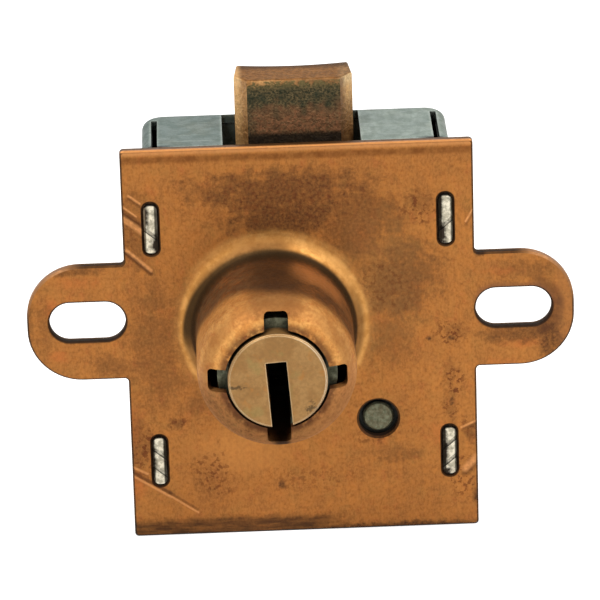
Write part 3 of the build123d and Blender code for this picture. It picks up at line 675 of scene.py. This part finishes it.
# Plug: turned from brass, faced off flat and slotted for the key. It turns in the sleeve and is
# held there by its clip. Its face has gone a dull tan, with pale rims partly worn by handling and
# partly painted highlight, brightest on the right. Its keyway and gaps get grime and painted
# shade.
brass, tree, surface, coords = new_metal("plug brass, tan", 0.5)
where = coords["Object"]
colour = over(tree, stain(tree, where, 0.0022, 0.38, 0.62), tone(158, 120, 72), tone(144, 106, 60))
colour = over(tree, both(tree, stain(tree, where, 0.0005), 0.35), colour, tone(124, 92, 54))
colour = over(tree, both(tree, stain(tree, where, 0.0016, 0.58, 0.70), 0.5), colour, tone(166, 110, 52))
colour = over(tree, both(tree, stain(tree, where, 0.0030, 0.55, 0.68), 0.4), colour, tone(136, 122, 70))
torn = both(tree, calc(tree, "SUBTRACT", stain(tree, where, 0.0004, 0.30, 0.70), 0.5), 1.4)
nicks = ((0.7, -5.2, 0.9, 0.8, 0.75), (-8.8, -2.2, 1.3, 0.26, 0.75))
for nick in smudges(tree, where, torn, nicks):
    colour = over(tree, nick, colour, tone(64, 50, 32))
place = split(tree, where)
rims_worn_and_lit = both(tree, use(tree, rubbed, Reach=0.00026), 0.80)
colour = over(tree, rims_worn_and_lit, colour, tone(206, 180, 140))
right_rim = both(tree, fade(tree, place["X"], -0.002, 0.0016), fade(tree, place["Z"], -0.0060, -0.0020))
colour = over(tree, both(tree, rims_worn_and_lit, right_rim), colour, tone(240, 224, 196))
colour = over(tree, use(tree, grime_and_shade, Reach=0.0016), colour, tone(14, 12, 8))
tree.links.new(colour, surface["Base Color"])
feeds = {"Vector": where, "Scale": 2600.0, "Detail": 3.0}
fine_marks = wire(tree, "ShaderNodeTexNoise", feeds).outputs[0]
tree.links.new(calc(tree, "ADD", 0.42, both(tree, fine_marks, 0.16)), surface["Roughness"])
bump = wire(tree, "ShaderNodeBump", {"Height": fine_marks, "Distance": 0.00003, "Strength": 0.5})
tree.links.new(bump.outputs[0], surface["Normal"])
nodes["plug"].data.materials[0] = brass

# Posts and stop pin: turned steel, gone grey-green and speckled. The posts are riveted in the
# back of the case and the pin is pressed in the sleeve's flange. The end of the lever post shows
# in the plate's round hole.
post_steel, tree, surface, coords = new_metal("post steel, speckled", 0.4)
where = coords["Object"]
colour = over(tree, stain(tree, where, 0.0006), tone(120, 122, 98), tone(90, 92, 70))
colour = over(tree, both(tree, stain(tree, where, 0.0004), 0.5), colour, tone(98, 84, 60))
# Grime and painted shade in corners and gaps darken the post's end deep in the plate's hole
colour = over(tree, both(tree, use(tree, grime_and_shade, Reach=0.0012), 0.95), colour, tone(12, 12, 9))
tree.links.new(colour, surface["Base Color"])
surface["Roughness"].default_value = 0.5
speckles = stain(tree, where, 0.0005)
bump = wire(tree, "ShaderNodeBump", {"Height": speckles, "Distance": 0.00006, "Strength": 0.7})
tree.links.new(bump.outputs[0], surface["Normal"])
for name in ("lever_post", "guide_post", "stop_pin"):
    nodes[name].data.materials[0] = post_steel

# Levers: four, punched from rolled brass sheet, that swing on the lever post. They are streaked
# along the rolling and have old oil and painted shade in the corners.
rolled_brass, tree, surface, coords = new_metal("lever brass, rolled", 0.75)
where = coords["Object"]
streaks = stain(tree, stretched(tree, where, 1, 1, 0.15), 0.0009)
colour = over(tree, streaks, tone(188, 150, 82), tone(160, 122, 60))
colour = over(tree, both(tree, use(tree, grime_and_shade, Reach=0.001), 0.6), colour, tone(64, 46, 22))
tree.links.new(colour, surface["Base Color"])
tree.links.new(calc(tree, "ADD", 0.30, both(tree, streaks, 0.12)), surface["Roughness"])
for number in (1, 2, 3, 4):
    nodes[f"lever_{number}"].data.materials[0] = rolled_brass

# Lever springs: bent strips of phosphor bronze, reddish, one behind each lever. Each presses
# its lever away from the wall of the case.
bronze, tree, surface, coords = new_metal("spring bronze", 0.8)
tarnish = stain(tree, coords["Object"], 0.0009)
tree.links.new(over(tree, tarnish, tone(182, 130, 80), tone(150, 98, 54)), surface["Base Color"])
tree.links.new(calc(tree, "ADD", 0.28, both(tree, tarnish, 0.12)), surface["Roughness"])
for number in (1, 2, 3, 4):
    nodes[f"lever_spring_{number}"].data.materials[0] = bronze

# Plug clip: an open ring of spring steel, blued. It is snapped into the plug's groove, with its
# mouth over the keyway.
blued, tree, surface, coords = new_metal("clip steel, blued", 0.8)
blueing = stain(tree, coords["Object"], 0.0011)
tree.links.new(over(tree, blueing, tone(92, 96, 104), tone(60, 62, 68)), surface["Base Color"])
tree.links.new(calc(tree, "ADD", 0.30, both(tree, blueing, 0.12)), surface["Roughness"])
nodes["plug_clip"].data.materials[0] = blued

# Bolt: cast brass, sliding in the top of the case and moved by the pin on the drive disc. Its
# front face is black and green with old patina, reddish lower down, and painted dark as shade
# where it goes down behind the plate. The sides and the top, which rub in the keeper, are bare
# gold, with painted highlights on the upper sides, the top corners and the left side, and painted
# shade along the back edge of the top.
bolt_front, bolt_back, bolt_top = 0.0051, 0.0115, 0.02985
cast_brass, tree, surface, coords = new_metal("bolt brass, patina on the front", 0.5)
where = coords["Object"]
place = split(tree, where)
facing = split(tree, coords["Normal"])
gold = over(tree, stain(tree, where, 0.0018, 0.38, 0.62), tone(196, 148, 92), tone(170, 122, 70))
on_right_side = fade(tree, place["X"], 0.0054, 0.0064)
on_left_side = fade(tree, place["X"], -0.0063, -0.0073)
on_side = either_of(tree, on_right_side, on_left_side)
# Painted highlight on the upper part of each side, strongest at the top corners
upper_side_highlight = both(tree, on_side, fade(tree, place["Z"], bolt_top - 0.00685, bolt_top - 0.00265))
gold = over(tree, both(tree, upper_side_highlight, 0.6), gold, tone(226, 182, 122))
corner_highlight = both(tree, on_side, fade(tree, place["Z"], bolt_top - 0.00185, bolt_top - 0.00065))
gold = over(tree, both(tree, corner_highlight, 0.6), gold, tone(236, 208, 158))
gold = over(tree, both(tree, stain(tree, where, 0.0005), 0.35), gold, tone(128, 86, 46))
top = fade(tree, facing["Z"], 0.5, 0.8)
top_colour = over(tree, stain(tree, where, 0.0005), tone(122, 78, 36), tone(92, 58, 26))
gold = over(tree, both(tree, top, 0.80), gold, top_colour)
# Painted shade: a dark line along the back edge of the top
back_edge_shade = both(
    tree,
    fade(tree, place["Y"], bolt_back - 0.0029, bolt_back - 0.0009),
    fade(tree, place["Z"], bolt_top - 0.00105, bolt_top - 0.00045),
)
gold = over(tree, both(tree, back_edge_shade, 0.75), gold, tone(60, 40, 24))
frontward = fade(tree, place["Y"], bolt_front + 0.0013, bolt_front + 0.0002)
near_front = both(tree, frontward, less(tree, top))
on_right = fade(tree, place["X"], -0.002, 0.002)
lower_right = both(tree, on_right, fade(tree, place["Z"], bolt_top - 0.00205, bolt_top - 0.00485))
# Painted highlight: the left side is lighter
gold = over(tree, both(tree, on_side, less(tree, on_right), 0.60), gold, tone(236, 186, 124))
gold = over(tree, both(tree, lower_right, 0.45), gold, tone(112, 74, 42))
browned = calc(tree, "ADD", 0.20, both(tree, on_right, 0.50))
gold = over(tree, both(tree, near_front, browned), gold, tone(96, 62, 36))
black = over(tree, stain(tree, where, 0.0003, 0.42, 0.58), tone(46, 46, 30), tone(98, 84, 56))
black = over(tree, both(tree, stain(tree, where, 0.0012, 0.48, 0.62), 0.6), black, tone(40, 46, 32))
worn_top = fade(tree, place["Z"], bolt_top - 0.00165, bolt_top - 0.00025)
black = over(tree, both(tree, worn_top, 0.6), black, tone(124, 108, 66))
wander = both(tree, calc(tree, "SUBTRACT", stain(tree, where, 0.0016, 0.30, 0.70), 0.5), 0.0024)
low = both(
    tree,
    fade(tree, calc(tree, "ADD", place["Z"], wander), bolt_top - 0.00265, bolt_top - 0.00545),
    fade(tree, place["Z"], plate_top - 0.0005, plate_top + 0.0003),
    fade(tree, place["X"], -0.0066, -0.0040),
    calc(tree, "ADD", 0.35, both(tree, stain(tree, where, 0.0004), 0.40)),
)
black = over(tree, low, black, tone(146, 96, 64))
# Painted shade: the front is dark where it goes down behind the plate
shade_behind_plate = fade(tree, place["Z"], plate_top + 0.0004, plate_top - 0.0004)
black = over(tree, both(tree, shade_behind_plate, 0.85), black, tone(30, 16, 8))
ragged = both(tree, calc(tree, "SUBTRACT", stain(tree, where, 0.0006, 0.30, 0.70), 0.5), 0.0012)
front = both(
    tree,
    fade(tree, facing["Y"], -0.88, -0.97),
    fade(tree, place["Y"], bolt_front + 0.0005, bolt_front + 0.0002),
    fade(tree, calc(tree, "ADD", place["Z"], ragged), bolt_top - 0.00005, bolt_top - 0.00085),
)
colour = over(tree, front, gold, black)
# Grime and painted shade in corners and gaps
colour = over(tree, both(tree, use(tree, grime_and_shade, Reach=0.0015), 0.7), colour, tone(30, 24, 16))
tree.links.new(colour, surface["Base Color"])
worn = calc(tree, "ADD", both(tree, front, 0.2), both(tree, top, 0.3))
tree.links.new(calc(tree, "ADD", 0.45, worn), surface["Roughness"])
cast_skin = stain(tree, where, 0.0006)
bump = wire(tree, "ShaderNodeBump", {"Height": cast_skin, "Distance": 0.00008, "Strength": 0.8})
tree.links.new(bump.outputs[0], surface["Normal"])
nodes["bolt"].data.materials[0] = cast_brass

# Case: one blank of steel sheet, folded, with dulled zinc plating. Inside it is painted near black
# as shade. Four tabs hold it to the plate, and their heads, hammered over in its slots, are bright.
tab_x = 0.01873
side_inside, back_inside, top_inside = 0.0182, 0.01325, 0.0215
zinc, tree, surface, coords = new_metal("zinc plate, dulled", 0.5)
where = coords["Object"]
place = split(tree, where)
across = calc(tree, "ABSOLUTE", place["X"])
colour = over(tree, stain(tree, where, 0.0032, 0.38, 0.62), tone(126, 137, 128), tone(112, 124, 116))
left_top = both(tree, fade(tree, place["X"], 0.004, -0.004), fade(tree, place["Z"], 0.0185, 0.0205))
colour = over(tree, both(tree, left_top, 0.85), colour, tone(84, 99, 94))
feeds = {"Vector": where, "Rotation": (0, 0.5, 0), "Scale": (0.05, 1, 1)}
slanting = wire(tree, "ShaderNodeMapping", feeds).outputs[0]
scuffs = stain(tree, slanting, 0.0006, 0.60, 0.68)
colour = over(tree, both(tree, scuffs, 0.35), colour, tone(158, 168, 160))
yellowed = stain(tree, where, 0.0055, 0.50, 0.66)
colour = over(tree, both(tree, yellowed, 0.30), colour, tone(106, 108, 92))
colour = over(tree, both(tree, use(tree, rubbed, Reach=0.0006), 0.55), colour, tone(176, 184, 174))
ripples = stain(tree, stretched(tree, where, 1, 0.3, 0.3), 0.0007)
colour = over(tree, both(tree, ripples, 0.3), colour, tone(86, 98, 90))
# Painted shade: a dark band on the case just behind the plate, beside each tab, where the slits are
shade_beside_tab = both(
    tree,
    fade(tree, place["Y"], plate_back + 0.00095, plate_back + 0.00015),
    fade(tree, across, tab_x - 0.00373, tab_x - 0.00173),
)
colour = over(tree, shade_beside_tab, colour, tone(22, 18, 13))

# Heads of the tabs: bright, with ragged sides painted dark as shade, and dark spots. A dark spot is
# given as a stain of the plate is: centre x, centre z, reach x, reach z in millimetres, and strength
bright = over(tree, stain(tree, where, 0.0007), tone(226, 218, 196), tone(178, 171, 150))
bright = over(tree, both(tree, stain(tree, where, 0.0011, 0.56, 0.66), 0.5), bright, tone(104, 104, 90))
dark_spots = (
    (-19.5, 14.2, 0.75, 2.8, 1.0),
    (-17.8, 10.1, 1.10, 1.9, 1.1),
    (-19.8, 10.5, 0.50, 2.0, 1.0),
    (17.8, 10.4, 1.20, 2.6, 1.2),
    (17.8, 13.8, 0.72, 4.4, 1.0),
    (19.75, 14.2, 0.50, 3.0, 0.9),
    (-19.75, -19.0, 0.80, 4.2, 1.0),
    (-17.8, -18.3, 0.50, 3.4, 0.9),
    (17.85, -19.4, 0.80, 4.4, 1.0),
    (18.0, -22.6, 1.20, 1.3, 1.1),
    (19.8, -20.6, 0.50, 3.4, 0.9),
)
uneven = both(tree, calc(tree, "SUBTRACT", stain(tree, where, 0.0008, 0.30, 0.70), 0.5), 0.5)
dark_spot = calc(tree, "MINIMUM", strongest(tree, smudges(tree, where, uneven, dark_spots)), 1.0)
bright = over(tree, dark_spot, bright, tone(38, 29, 20))
head = fade(tree, place["Y"], plate_back + 0.00005, plate_back - 0.00015)
from_tab = calc(tree, "ABSOLUTE", calc(tree, "SUBTRACT", across, tab_x))
head_edge_shade = fade(tree, from_tab, 0.00048, 0.00066)
bright = over(tree, both(tree, head_edge_shade, 0.85), bright, tone(40, 33, 22))
for soft_side in smudges(tree, where, uneven, ((-19.4, 13.2, 0.9, 4.6, 0.85),)):
    bright = over(tree, both(tree, head_edge_shade, soft_side), bright, tone(138, 122, 100))
colour = over(tree, head, colour, bright)

# Inside of the case, painted near black as shade, and grime with painted shade in corners and gaps
inside = both(
    tree,
    fade(tree, across, side_inside + 0.0002, side_inside),
    fade(tree, place["Y"], back_inside + 0.00005, back_inside - 0.00015),
    fade(tree, place["Z"], top_inside + 0.0001, top_inside - 0.0001),
    fade(tree, place["Y"], plate_back - 0.00005, plate_back + 0.00015),
)
colour = over(tree, inside, colour, tone(20, 20, 18))
colour = over(tree, use(tree, grime_and_shade, Reach=0.003), colour, tone(10, 12, 11))
tree.links.new(colour, surface["Base Color"])
roughness = calc(tree, "ADD", 0.42, both(tree, stain(tree, where, 0.0014), 0.16))
roughness = calc(tree, "ADD", roughness, both(tree, head, head_edge_shade, 0.45))
tree.links.new(roughness, surface["Roughness"])
dents = stain(tree, where, 0.0008)
bump = wire(tree, "ShaderNodeBump", {"Height": dents, "Distance": 0.00005, "Strength": 0.6})
tree.links.new(bump.outputs[0], surface["Normal"])
nodes["back_case"].data.materials[0] = zinc

# Dirt and shade: a dark fill of old grease and copper dust, packed into what each tab leaves free
# of its slot in the plate, that also stands in for the shade in those gaps.
# It lies back from the front, deepest midway between tab and plate, and its surface is lumpy.
fill_front, fill_back = 0.00030, plate_back - 0.00005
upper_tab_z, tab_pitch_z = 0.012225, 0.03165
slot_half_width, slot_half_straight, into_wall = 0.00095, 0.00255, 0.00002
outline_points, side_cuts = 34, 12  # no point lies level with the middle, so the halves part there
dish = ((0.00012, 0.00016), (0.00012, 0.00004), (0.00014, -0.00006))  # each step's width and depth
lump_width, lump_height = 0.00045, 0.00024


def select_points(piece, wanted):
    """In edit mode: selects the points whose place meets the wish, with the edges between them."""
    bpy.ops.mesh.select_mode(type="VERT")
    bpy.ops.mesh.select_all(action="DESELECT")
    bpy.ops.object.mode_set(mode="OBJECT")
    for point in piece.data.vertices:
        point.select = wanted(point.co)
    bpy.ops.object.mode_set(mode="EDIT")


bpy.ops.object.select_all(action="DESELECT")
bpy.ops.mesh.primitive_circle_add(
    vertices=outline_points,
    radius=slot_half_width + into_wall,
    fill_type="NGON",
    location=(tab_x, fill_back, upper_tab_z),
    rotation=(radians(90), 0, 0),
)
dirt_and_shade = bpy.context.object
dirt_and_shade.name = dirt_and_shade.data.name = "tab_slot_dirt_and_shade"
bpy.ops.object.transform_apply(location=True, rotation=True, scale=True)
bpy.ops.object.mode_set(mode="EDIT")
for way in (1, -1):
    select_points(dirt_and_shade, lambda place: way * (place.z - upper_tab_z) > 0)
    bpy.ops.transform.translate(value=(0, 0, way * slot_half_straight))
for way in (1, -1):
    select_points(
        dirt_and_shade,
        lambda place: way * (place.x - tab_x) > slot_half_width
        and abs(place.z - upper_tab_z) < 1.05 * slot_half_straight,
    )
    bpy.ops.mesh.subdivide(number_cuts=side_cuts)
bpy.ops.mesh.select_all(action="SELECT")
bpy.ops.mesh.select_mode(type="FACE")
bpy.ops.mesh.extrude_region_move(TRANSFORM_OT_translate={"value": (0, fill_front - fill_back, 0)})
for width, depth in dish:
    bpy.ops.mesh.inset(thickness=width, depth=-depth)
to_back = fill_back - fill_front - sum(depth for width, depth in dish)
bpy.ops.mesh.extrude_region_move(TRANSFORM_OT_translate={"value": (0, to_back, 0)})
bpy.ops.mesh.delete(type="FACE")
select_points(dirt_and_shade, lambda place: place.y > 0.99 * fill_back)
bpy.ops.mesh.bridge_edge_loops()
bpy.ops.mesh.select_all(action="SELECT")
bpy.ops.mesh.duplicate_move(TRANSFORM_OT_translate={"value": (0, 0, -tab_pitch_z)})
bpy.ops.mesh.select_all(action="SELECT")
bpy.ops.mesh.duplicate_move(TRANSFORM_OT_translate={"value": (-2 * tab_x, 0, 0)})
bpy.ops.mesh.select_all(action="SELECT")
bpy.ops.mesh.normals_make_consistent(inside=False)
bpy.ops.object.mode_set(mode="OBJECT")
lumpy = dirt_and_shade.vertex_groups.new(name="front")
lumpy.add([point.index for point in dirt_and_shade.data.vertices if point.co.y < 0.99 * fill_back], 1.0, "REPLACE")
lumps = bpy.data.textures.new("lumps", "CLOUDS")
lumps.noise_scale = lump_width
displace = dirt_and_shade.modifiers.new("lumps", "DISPLACE")
displace.texture = lumps
displace.direction = "Y"
displace.vertex_group = "front"
displace.strength = lump_height
displace.mid_level = 0.5
bpy.ops.object.modifier_apply(modifier="lumps")
bpy.ops.object.shade_smooth()

packed, tree, surface, coords = new_metal("packed dirt and shade", 0.0)
where = coords["Object"]
colour = over(tree, stain(tree, where, 0.0006), tone(40, 29, 19), tone(22, 16, 10))
colour = over(tree, both(tree, stain(tree, where, 0.0003, 0.56, 0.66), 0.5), colour, tone(96, 62, 36))
paler_fill_patches = (
    (-19.55, 13.2, 0.80, 4.6, 0.85),
    (-18.8, 15.9, 1.2, 0.7, 0.50),
    (19.50, 12.8, 0.55, 4.4, 0.60),
    (-19.50, -19.4, 0.60, 4.0, 0.45),
    (18.8, -15.9, 1.2, 0.6, 0.30),
)
torn = both(tree, calc(tree, "SUBTRACT", stain(tree, where, 0.0006, 0.30, 0.70), 0.5), 0.6)
for worn in smudges(tree, where, torn, paler_fill_patches):
    colour = over(tree, worn, colour, tone(126, 96, 66))
tree.links.new(colour, surface["Base Color"])
roughness = calc(tree, "ADD", 0.62, both(tree, stain(tree, where, 0.0004), 0.3))
tree.links.new(roughness, surface["Roughness"])
grit = stain(tree, where, 0.0003)
bump = wire(tree, "ShaderNodeBump", {"Height": grit, "Distance": 0.00005, "Strength": 0.8})
tree.links.new(bump.outputs[0], surface["Normal"])
dirt_and_shade.data.materials.append(packed)
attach(dirt_and_shade, "case")
